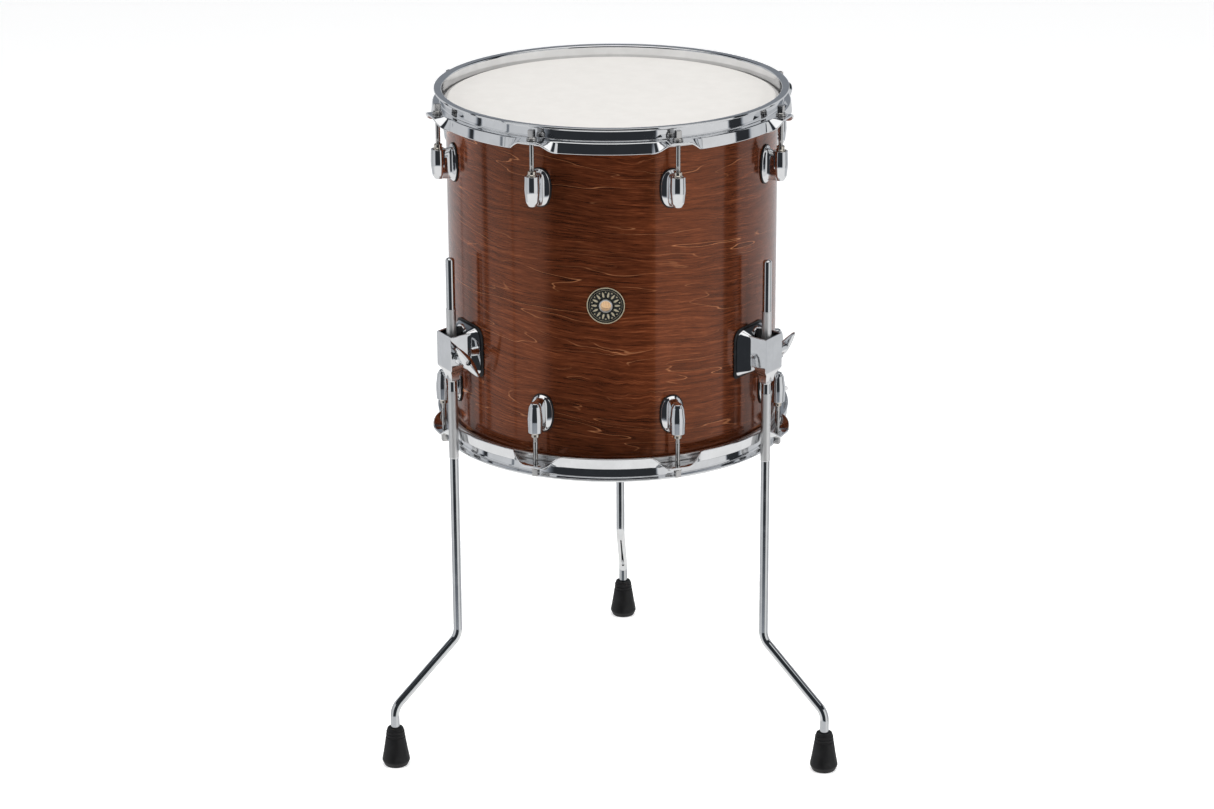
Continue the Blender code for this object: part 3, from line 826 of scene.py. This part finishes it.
def make_lugs_and_rods(looks):
    lug, gasket, collar, rod = lug_mesh(), lug_gasket_mesh(), swivel_collar_mesh(), rod_mesh()
    for number, angle in enumerate(LUG_ANGLES, start=1):
        for side, sign, edge, flip in (("top", 1, TOP_EDGE, 0.0), ("bottom", -1, BOTTOM_EDGE, pi)):
            lug_place = place(angle, ROD_CIRCLE, MID_HEIGHT + sign * LUG_OFFSET, (0.0, flip))
            rod_place = place(angle, ROD_CIRCLE, edge + sign * SHOULDER_TOP, (0.0, flip))
            piece(f"{side}_bullet_lug_{number}", lug, looks["cast"], lug_place, "root",
                  [f"{side}_lug_{number}"])
            piece(f"{side}_lug_gasket_{number}", gasket, looks["gasket"], lug_place, "root")
            piece(f"{side}_swivel_collar_{number}", collar, looks["collar"], lug_place, "root")
            piece(f"{side}_square_head_rod_{number}", rod, looks["rod"], rod_place, f"{side}_rod_{number}",
                  [f"{side}_tension_rod_{number}"])


# Brackets


def block_half_width(y):
    """The block widens from its outward face towards the shell."""
    return 0.0155 + 0.0022 * (y + BLOCK_FRONT) / (BLOCK_FRONT + BLOCK_SHOULDER)


def rim_height(x, y):
    """The height of the bracket's open rim: it rises towards the shell and dips across the outer wall."""
    rise = 0.0178 + 0.10 * (y + BLOCK_FRONT)
    dip = 0.0024 * max(0.0, 1 - (x / 0.0130) ** 2) * min(max((0.004 - y) / 0.012, 0.0), 1.0)
    return rise - dip


def bracket_block():
    """The cup-shaped block: outer walls, a rim, the hollow, and a chin that closes in on the leg."""
    back = 0.0150
    square = rounded_rectangle((-1.0, -BLOCK_FRONT), (1.0, back), 0.0014)
    outer = [(u * block_half_width(y), y) for u, y in square]
    middle = (back - BLOCK_FRONT) / 2

    def shrunk(amount):
        return [(x - amount * (1 if x > 0 else -1), y - amount * (1 if y > middle else -1)) for x, y in outer]

    def chin(radius):
        """The outline on a round chin about the leg, point for point with the block's outline."""
        turns = [atan2(y - 0.0015, x) for x, y in outer]
        return [(radius * cos(turn), radius * sin(turn)) for turn in turns]

    def between(front_share, back_share):
        """The outward face stays wide further down than the sides, which are scooped in behind it."""
        made = []
        for (a, b), (c, d) in zip(outer, chin(0.0084)):
            share = front_share if b < 0 else back_share
            made.append((a + (c - a) * share, b + (d - b) * share))
        return made

    rings = [flat_ring(chin(0.0078), -0.0335)]
    for height, front_share, back_share in (
        (-0.0330, 1.00, 1.00),
        (-0.0300, 0.97, 1.00),
        (-0.0262, 0.80, 0.97),
        (-0.0232, 0.48, 0.90),
        (-0.0210, 0.12, 0.80),
        (-0.0192, 0.00, 0.68),
        (-0.0164, 0.00, 0.42),
        (-0.0140, 0.00, 0.12),
        (-0.0128, 0.00, 0.00),
    ):
        rings.append(flat_ring(between(front_share, back_share), height))
    for amount, drop in ((0.0, 0.0006), (0.0006, 0.0), (0.0014, 0.0), (0.0020, 0.0006)):
        rings.append([Vector((*p, rim_height(*p) - drop)) for p in shrunk(amount)])
    return loft(rings + [flat_ring(shrunk(0.0026), -0.0105), flat_ring(shrunk(0.0040), -0.0120)])


def arched(half_width, low, high, corner):
    """A plate's outline with tight corners below and wide ones on top."""
    return rounded([(-half_width, low, corner * 0.6), (half_width, low, corner * 0.6),
                    (half_width, high, corner * 1.7), (-half_width, high, corner * 1.7)], 9)


def bracket_base():
    """The casting's foot: an arched edge that flares in to the block, later on the wing's side."""
    # Distance from the shell's axis, half width, half width on the wing's side, half height, corner
    rows = [
        (0.1785, 0.0262, 0.0257, 0.0242, 0.0080),
        (0.1788, 0.0265, 0.0260, 0.0245, 0.0082),
        (0.1792, 0.0263, 0.0256, 0.0244, 0.0081),
        (0.1800, 0.0254, 0.0247, 0.0240, 0.0076),
        (0.1812, 0.0241, 0.0234, 0.0233, 0.0068),
        (0.1826, 0.0227, 0.0218, 0.0226, 0.0058),
        (0.1843, 0.0213, 0.0198, 0.0218, 0.0048),
        (0.1852, 0.0206, 0.0190, 0.0214, 0.0043),
        (0.1862, 0.0200, 0.0187, 0.0209, 0.0038),
        (0.1880, 0.0188, 0.0181, 0.0200, 0.0028),
        (0.1898, 0.0172, 0.0170, 0.0190, 0.0022),
    ]
    rings = []
    for radius, half_width, wing_side, half_height, corner in rows:
        points = [(x * (wing_side / half_width if x > 0 else 1), z)
                  for x, z in arched(half_width, -half_height, half_height, corner)]
        rings.append(wrapped(points, radius, LEG_CIRCLE))
    return loft(rings)


def bracket_hollow():
    """What the foundry core leaves empty: the room for the leg and the eyebolt."""
    rings = []
    for height, grow in ((-0.0120, -0.0010), (-0.0105, 0.0), (0.0300, 0.0)):
        low, high = (-0.0130 - grow, -0.0074 - grow), (0.0130 + grow, 0.0112 + grow)
        rings.append(flat_ring(rounded_rectangle(low, high, 0.0020, 4), height))
    return loft(rings)


def bracket_tab():
    """The round-topped tab that stands behind the leg at the back of the hollow."""
    half, shoulder = 0.0085, 0.0175
    arch = [(half * cos(a), shoulder + half * sin(a)) for a in [pi - pi * k / 16 for k in range(17)]]
    outline = [(-half, 0.0)] + arch + [(half, 0.0)]
    rings = []
    for y, share in ((0.0104, 0.90), (0.0108, 0.97), (0.0114, 1.0), (0.0132, 1.0), (0.0136, 0.92)):
        rings.append([Vector((x * share, y, z * (0.99 + 0.01 * share))) for x, z in outline])
    return loft(rings)


def bracket_rib():
    """The slanted rib that braces the chin against the base."""
    outline = [(0.0165, -0.0160), (0.0165, -0.0215), (0.0122, -0.0248), (0.0090, -0.0300), (0.0050, -0.0300),
               (0.0050, -0.0160)]
    rings = []
    for x, inset in ((-0.0046, 0.0006), (-0.0040, 0.0), (0.0040, 0.0), (0.0046, 0.0006)):
        rings.append([Vector((x, y - inset * 0.5, z + inset)) for y, z in outline])
    return loft(rings)


def bracket_mesh():
    bore = turned([(BRACKET_BORE, -0.04), (BRACKET_BORE, 0.0)], 40)
    at_clamp = Matrix.Translation((0, 0, CLAMP_HEIGHT))
    side_hole = moved(along_x(turned([(0.0034, 0.006), (0.0034, 0.024)], 24)), at_clamp)
    boss_profile = [(0.0078, 0.0140, 0.0), (0.0078, 0.0186, 0.0004), (0.0036, 0.0186, 0.0)]
    boss = moved(along_x(turned(rounded(boss_profile, 3, closed=False), 36)), at_clamp)
    steps = [("DIFFERENCE", bracket_hollow()), ("UNION", bracket_block()), ("UNION", bracket_tab())]
    steps += [("UNION", bracket_rib()), ("UNION", boss), ("DIFFERENCE", bore), ("DIFFERENCE", side_hole)]
    return smooth(combine(bracket_base(), "bracket", steps), 32)


def bracket_gasket_mesh():
    """The rubber sheet under the bracket, about 2.5 mm proud of it at the sides."""
    rows = [(0.0003, 0.0286), (0.0005, 0.0290), (0.0015, 0.0290), (0.0018, 0.0286)]
    rings = []
    for rise, half in rows:
        points = arched(half, 0.0015 - half, half - 0.0020, 0.0086)
        rings.append(wrapped(points, SHELL_RADIUS + rise, LEG_CIRCLE))
    return smooth(to_mesh(loft(rings), "bracket_gasket"))


def eyebolt_mesh():
    """A ring round the leg with a threaded shank towards the wing nut."""
    section = rounded([(0.0056, -0.0045, 0.0006), (0.0076, -0.0045, 0.0008), (0.0076, 0.0045, 0.0008),
                       (0.0056, 0.0045, 0.0006)], 3)
    ring = moved(turned_ring(section, 48), Matrix.Translation((0.0003, 0, 0)))
    profile = [(0.0029, 0.0066), (0.0029, 0.0128)]
    reach, pitch = 0.0132, 0.0010
    while reach < 0.0340:
        profile += [(0.0026, reach), (0.0030, reach + pitch / 2)]
        reach += pitch
    profile += [(0.0026, reach), (0.0022, 0.0352)]
    return smooth(combine(ring, "eyebolt", [("UNION", along_x(turned(profile, 28)))]), 35)


def wing_leaf():
    """The straight leaf across the hub's end, as ovals from tip to tip."""
    # Way out from the middle, half the size along the screw, half the width
    half = [
        (0.0000, 0.00215, 0.0055),
        (0.0040, 0.00215, 0.0053),
        (0.0080, 0.00210, 0.0047),
        (0.0120, 0.00200, 0.0039),
        (0.0160, 0.00185, 0.0030),
        (0.0190, 0.00160, 0.0022),
        (0.0210, 0.00125, 0.0015),
        (0.0219, 0.00080, 0.0009),
        (0.0222, 0.00030, 0.0003),
    ]
    rows = [(-out, deep, wide) for out, deep, wide in reversed(half[1:])] + half
    rings = []
    for out, deep, wide in rows:
        rings.append([Vector((WING_MIDDLE + u, v, out)) for u, v in oval(deep, wide, 1.7, 32)])
    return loft(rings)


def wing_nut_mesh():
    """A round hub along X that carries the leaf across its outer end."""
    hub_profile = rounded([
        (0.0036, 0.0189, 0.0),
        (0.0064, 0.0189, 0.0005),
        (0.0064, 0.0208, 0.0006),
        (0.0054, 0.0217, 0.0008),
        (0.0048, 0.0260, 0.0040),
        (0.0052, 0.0345, 0.0010),
        (0.0036, 0.0357, 0.0),
    ], 4, closed=False)
    hub = along_x(turned(hub_profile, 48))
    hole = along_x(turned([(0.0032, 0.014), (0.0032, 0.042)], 28))
    return smooth(combine(hub, "wing_nut", [("UNION", wing_leaf()), ("DIFFERENCE", hole)]), 40)


# Legs and feet


def leg_path():
    """The leg's centre line as (distance outwards, height), from below the knurling to its end in the foot."""
    reach = FOOT_CIRCLE - LEG_CIRCLE
    lean = Vector((reach, LOWER_BEND - UPPER_BEND)).normalized()
    down = Vector((0.0, -1.0))
    trim = BEND_RADIUS * tan(lean.angle(down) / 2)
    points = [Vector((0.0, 0.30)), Vector((0.0, 0.20))]
    for corner, before, after in (((0.0, UPPER_BEND), down, lean), ((reach, LOWER_BEND), lean, down)):
        at = Vector(corner)
        start, end = at - trim * before, at + trim * after
        for i in range(13):
            t = i / 12
            points.append((1 - t) ** 2 * start + 2 * t * (1 - t) * at + t**2 * end)
    points.append(Vector((reach, 0.0125)))
    return points


def leg_mesh():
    """A bent rod with a domed top and two knurled lengths, swept along its path."""
    sides = 48
    pitch, core, crest, run_in = 0.00066, 0.00008, 0.00026, 0.0004
    stations = []
    dome, tip = 0.0030, 0.0003
    for k in range(6):
        turn = k / 6 * pi / 2
        spot = Vector((0.0, LEG_TOP - dome + dome * cos(turn)))
        stations.append((spot, tip + (LEG_RADIUS - tip) * sin(turn)))
    stations.append((Vector((0.0, LEG_TOP - dome - 0.0002)), LEG_RADIUS))
    knurled = set()
    for high, low in KNURLS:
        stations.append((Vector((0.0, high + run_in)), LEG_RADIUS))
        rows = round((high - low) / pitch)
        for row in range(rows + 1):
            knurled.add(len(stations))
            stations.append((Vector((0.0, high - (high - low) * row / rows)), LEG_RADIUS + core))
        stations.append((Vector((0.0, low - run_in)), LEG_RADIUS))
    stations += [(point, LEG_RADIUS) for point in leg_path()]
    rings = []
    for i, (point, radius) in enumerate(stations):
        before = stations[max(i - 1, 0)][0]
        after = stations[min(i + 1, len(stations) - 1)][0]
        run = (after - before).normalized()
        side = Vector((-run.y, run.x))
        ring = []
        for k in range(sides):
            turn = 2 * pi * k / sides
            reach = radius + (crest if i in knurled and (i + k) % 2 else 0.0)
            out = point + reach * cos(turn) * side
            ring.append(Vector((reach * sin(turn), -out.x, out.y)))
        rings.append(ring)
    return smooth(to_mesh(loft(rings), "leg"), 60)


def foot_mesh():
    """A tapered rubber foot: chamfered base, plain flared wall, a ribbed collar and a socket for the leg."""
    socket = LEG_RADIUS + 0.0002
    profile = [
        (socket, 0.0120, 0.0),
        (socket, FOOT_HEIGHT, 0.0004),
        (0.0084, FOOT_HEIGHT, 0.0008),
        (0.0092, FOOT_HEIGHT - 0.0022, 0.0006),
        (0.0088, FOOT_HEIGHT - 0.0030, 0.0003),
        (0.0099, FOOT_HEIGHT - 0.0036, 0.0006),
        (0.0099, FOOT_HEIGHT - 0.0056, 0.0006),
        (0.0092, FOOT_HEIGHT - 0.0063, 0.0003),
        (0.0103, FOOT_HEIGHT - 0.0070, 0.0006),
        (0.0103, FOOT_HEIGHT - 0.0092, 0.0006),
        (0.0097, FOOT_HEIGHT - 0.0099, 0.0003),
        (0.0107, FOOT_HEIGHT - 0.0107, 0.0010),
        (0.0128, 0.0190, 0.0200),
        (FOOT_RADIUS - 0.0003, 0.0074, 0.0040),
        (FOOT_RADIUS - 0.0002, 0.0056, 0.0012),
        (0.0126, 0.0, 0.0010),
        (0.0060, 0.0, 0.0005),
        (0.0055, 0.0012, 0.0005),
        (0.0004, 0.0012, 0.0),
    ]
    return smooth(to_mesh(turned(rounded(profile, 4, closed=False), 64), "foot"), 35)


def make_legs(looks):
    bracket, gasket, eyebolt, wing_nut = bracket_mesh(), bracket_gasket_mesh(), eyebolt_mesh(), wing_nut_mesh()
    leg, foot = leg_mesh(), foot_mesh()
    for side, angle in LEG_ANGLES.items():
        level = place(angle, LEG_CIRCLE, BRACKET_HEIGHT)
        clamp = place(angle, LEG_CIRCLE, BRACKET_HEIGHT + CLAMP_HEIGHT)
        wings = place(angle, LEG_CIRCLE, BRACKET_HEIGHT + CLAMP_HEIGHT, (WING_TURN, 0.0))
        ground = place(angle, LEG_CIRCLE, 0.0)
        foot_spot = Matrix.Translation(place(angle, FOOT_CIRCLE, 0.0).translation)
        for name, mesh, look, matrix, body, slot, node in (
            ("cast_bracket", bracket, "cast", level, "root", "chrome_cast", "leg_bracket"),
            ("gasket_sheet", gasket, "gasket", level, "root", "gasket_rubber", "bracket_gasket"),
            ("threaded_eyebolt", eyebolt, "rod", clamp, f"{side}_eyebolt", "chrome_rod", "clamp_eyebolt"),
            ("leaf_wing_nut", wing_nut, "cast", wings, f"{side}_wing", "chrome_cast", "wing_nut"),
            ("knurled_leg", leg, "leg", ground, f"{side}_leg", "chrome_leg", "leg"),
            ("ribbed_foot", foot, "foot", foot_spot, f"{side}_leg", "foot_rubber", "foot"),
        ):
            piece(f"{side}_{name}", mesh, looks[look], matrix, body, [f"{side}_{node}"])


# Badge, vent and inner screws


def bent(bm):
    """Bends a flat badge piece, built in X and Y with Z as its height, round the shell."""
    for vert in bm.verts:
        across, up, out = vert.co
        turn = across / SHELL_RADIUS
        radius = SHELL_RADIUS + out
        vert.co = (radius * sin(turn), -radius * cos(turn), up)
    bmesh.ops.recalc_face_normals(bm, faces=bm.faces)
    return bm


def badge_ring(inner, outer, low, high):
    soft = 0.0002
    section = rounded([(inner, low, soft), (outer, low, soft), (outer, high, soft), (inner, high, soft)], 3)
    return turned_ring(section, 96)


def leaf(centre, turn, length, width, low, high):
    """A small raised leaf on the badge, pointing along a radius."""
    rings = []
    for height, share in ((low, 1.0), (high - 0.00008, 1.0), (high, 0.8)):
        ring = []
        for k in range(12):
            a = 2 * pi * k / 12
            u, v = share * length * cos(a), share * width * sin(a) * (1 - 0.45 * cos(a))
            ring.append(Vector((centre + u, v, height)))
        rings.append(ring)
    return moved(loft(rings), Matrix.Rotation(turn, 4, "Z"))


def make_badge(looks):
    """A black enamel disc with a bright rim, and a plain ring of leaves and dots round the vent."""
    face = 0.0010
    disc = smooth(to_mesh(bent(badge_ring(0.0068, 0.0192, 0.0003, face)), "badge"))
    piece("enamel_badge", disc, looks["enamel"], DRUM_MIDDLE, "root", ["badge"])
    print_low = face + 0.00002
    rim = joined(badge_ring(0.0186, 0.0195, print_low, 0.0013), badge_ring(0.0166, 0.0168, print_low, 0.00112))
    leaves = 14
    for k in range(leaves):
        turn = 2 * pi * k / leaves
        rim = joined(rim, leaf(0.0120, turn, 0.0030, 0.0010, print_low, 0.00122))
        rim = joined(rim, leaf(0.0146, turn + pi / leaves, 0.0007, 0.0007, print_low, 0.00120))
    raised = smooth(to_mesh(bent(rim), "badge_rim"))
    piece("badge_rim_and_leaves", raised, looks["badge_print"], DRUM_MIDDLE, "root")
    face_y = -SHELL_RADIUS - 0.0016
    inside = -SHELL_INNER + 0.0009
    section = rounded([
        (0.0055, face_y - 0.0007, 0.0004),
        (0.0066, face_y - 0.0012, 0.0006),
        (0.0073, face_y, 0.0004),
        (0.0062, face_y, 0.0002),
        (0.0062, inside, 0.0002),
        (0.0073, inside, 0.0004),
        (0.0070, inside + 0.0010, 0.0004),
        (0.0055, inside + 0.0010, 0.0004),
    ], 4)
    grommet = smooth(to_mesh(along_y(turned_ring(section, 64)), "grommet"))
    piece("vent_eyelet", grommet, looks["aluminium"], DRUM_MIDDLE, "root", ["vent_grommet"])


def screw_shape():
    """A pan-head screw on its washer, inside the shell. Height 0 is the inner wall."""
    profile = rounded([
        (0.0060, 0.0002, 0.0),
        (0.0060, 0.0012, 0.0003),
        (0.0042, 0.0013, 0.0),
        (0.0042, 0.0026, 0.0008),
        (0.0030, 0.0036, 0.0012),
        (0.0018, 0.0038, 0.0),
        (0.0014, 0.0022, 0.0),
        (0.0002, 0.0022, 0.0),
    ], 3, closed=False)
    return turned(profile, 20)


def make_inner_screws(looks):
    """Two screws behind each lug and four behind each bracket."""
    spots = []
    for angle in LUG_ANGLES:
        for sign in (-1, 1):
            spots += [(angle, sign * LUG_OFFSET + rise) for rise in (-0.0125, 0.0125)]
    half = 0.0170
    lean = half / SHELL_RADIUS * 180 / pi
    for angle in LEG_ANGLES.values():
        for side in (-lean, lean):
            spots += [(angle + side, BRACKET_HEIGHT - MID_HEIGHT + rise) for rise in (-half, half)]
    screws = bmesh.new()
    for angle, height in spots:
        spot = Matrix.Translation((0, -SHELL_INNER + 0.0002, height))
        inward = Matrix.Rotation(radians(angle), 4, "Z") @ spot
        screws = joined(screws, moved(screw_shape(), inward @ Matrix.Rotation(-pi / 2, 4, "X")))
    mesh = smooth(to_mesh(screws, "inner_screws"))
    piece("inner_screws", mesh, looks["rod"], DRUM_MIDDLE, "root")


# Floor, light and camera


def make_world():
    """A white studio: tall soft boxes left and right, a wall behind, a dark gap in front, light above."""
    world = bpy.data.worlds.new("studio")
    bpy.context.scene.world = world
    world.use_nodes = True
    world.node_tree.nodes.clear()
    nodes = Nodes(world.node_tree)
    x, y, z = nodes.xyz(nodes.node("ShaderNodeTexCoord").outputs["Generated"])
    turn = nodes.times(nodes.math("ARCTAN2", x, nodes.times(y, -1.0)), 180 / pi)
    rise = nodes.times(nodes.math("ARCSINE", z), 180 / pi)
    away = nodes.math("ABSOLUTE", turn)
    left = nodes.times(turn, -1.0)

    def band(value, start, full, fall, end):
        """Rises from start to full and goes back from fall to end, in degrees."""
        return nodes.times(nodes.step(value, start, full), nodes.step(value, fall, end, 1.0, 0.0))

    right_box = nodes.times(band(turn, 31, 33, 85, 87), 0.74)
    left_box = nodes.times(band(left, 38, 50, 93, 95), 0.62)
    high_behind = nodes.times(nodes.step(away, 140, 155), nodes.step(rise, 3, 8))
    back_wall = nodes.times(nodes.step(away, 97, 101), nodes.step(high_behind, 0.0, 1.0, 0.62, 0.24))
    gaps = nodes.plus(band(left, 69, 70, 71, 72), band(left, 126, 127, 128, 129), band(turn, 89, 90, 91, 92))
    seen = nodes.math("SUBTRACT", 1.0, nodes.times(gaps, 0.7))
    level = nodes.times(nodes.plus(right_box, left_box, back_wall), seen, nodes.step(rise, 28, 35, 1.0, 0.0))
    overhead = nodes.times(nodes.step(rise, 50, 58), 1.15)
    near_floor = nodes.times(nodes.step(rise, -27, -21, 1.0, 0.0), 0.86)
    level = nodes.plus(nodes.math("MAXIMUM", nodes.plus(level, overhead), near_floor), 0.035)
    studio = nodes.node("ShaderNodeBackground")
    nodes.put(studio.inputs[0], nodes.mix(nodes.step(level, 0.0, 1.0), (0.80, 0.88, 1.0), (1.0, 0.995, 0.985)))
    nodes.put(studio.inputs[1], level)
    plain = nodes.node("ShaderNodeBackground")
    plain.inputs[0].default_value = (1.0, 1.0, 1.0, 1.0)
    chosen = nodes.node("ShaderNodeMixShader")
    nodes.put(chosen.inputs[0], nodes.node("ShaderNodeLightPath").outputs["Is Camera Ray"])
    nodes.put(chosen.inputs[1], studio.outputs[0])
    nodes.put(chosen.inputs[2], plain.outputs[0])
    nodes.put(nodes.node("ShaderNodeOutputWorld").inputs[0], chosen.outputs[0])


def make_light(name, position, target, size, power):
    data = bpy.data.lights.new(name, "AREA")
    data.shape = "RECTANGLE"
    data.size, data.size_y = size
    data.energy = power
    light = bpy.data.objects.new(name, data)
    light.location = position
    light.rotation_euler = (Vector(target) - Vector(position)).to_track_quat("-Z", "Y").to_euler()
    light.visible_glossy = False
    link(light)


def make_floor():
    bm = bmesh.new()
    bmesh.ops.create_grid(bm, x_segments=8, y_segments=8, size=40.0)
    mesh = to_mesh(bm, "studio_floor")
    mesh.materials.append(pale_floor())
    floor = bpy.data.objects.new("studio_floor", mesh)
    floor.location = (0, 0, -0.0002)
    floor.visible_glossy = False
    link(floor)


def make_camera():
    """From the front, a little to the right, looking down at the drum."""
    data = bpy.data.cameras.new("camera")
    data.lens = 97.9
    data.sensor_width = 36.0
    data.shift_x = -0.0107
    data.shift_y = -0.0155
    camera = bpy.data.objects.new("camera", data)
    turn, dip, roll = radians(2.168), radians(19.067), radians(0.244)
    aim = Matrix.Rotation(turn, 4, "Z") @ Matrix.Rotation(pi / 2 - dip, 4, "X") @ Matrix.Rotation(-roll, 4, "Z")
    camera.matrix_world = Matrix.Translation((0.1366, -3.4580, 1.5657)) @ aim
    link(camera)
    bpy.context.scene.camera = camera


def main():
    bpy.context.scene.view_settings.view_transform = "Standard"
    looks = {
        "veneer": stained_veneer(),
        "ply": raw_ply(),
        "maple": inner_maple(),
        "coated": coated_film(),
        "clear": clear_film(),
        "aluminium": dull_steel("crimped_aluminium", (0.80, 0.80, 0.80), 0.26, 0.42),
        "pressed": polished_chrome("pressed_chrome", (0.82, 0.83, 0.845), 0.6),
        "cast": polished_chrome("cast_chrome", (0.80, 0.81, 0.825)),
        "leg": polished_chrome("leg_chrome", (0.78, 0.79, 0.80), knurled=KNURLS),
        "rod": dull_steel("plated_rod", (0.66, 0.65, 0.64), 0.10, 0.22),
        "collar": dull_steel("swivel_collar", (0.80, 0.74, 0.66), 0.08, 0.2),
        "gasket": moulded_rubber("gasket_rubber", (0.010, 0.010, 0.011)),
        "foot": moulded_rubber("foot_rubber", (0.007, 0.007, 0.0075)),
        "enamel": badge_enamel(),
        "badge_print": badge_print(),
    }
    make_camera()
    make_world()
    make_light("overhead_panel", (0.2, -0.3, 2.6), (0, 0, 0.5), (1.8, 1.4), 27.0)
    make_light("left_panel", (-2.4, -0.8, 1.1), (0, 0, 0.5), (1.0, 1.8), 40.0)
    make_light("right_panel", (2.4, -0.8, 1.1), (0, 0, 0.5), (1.0, 1.8), 40.0)
    make_light("light_through_heads", (0.0, AXIS.y, MID_HEIGHT), (0.0, 0.3, MID_HEIGHT), (0.2, 0.2), 0.42)
    make_floor()
    make_shell(looks)
    make_heads(looks)
    make_hoops(looks)
    make_lugs_and_rods(looks)
    make_legs(looks)
    make_badge(looks)
    make_inner_screws(looks)


main()
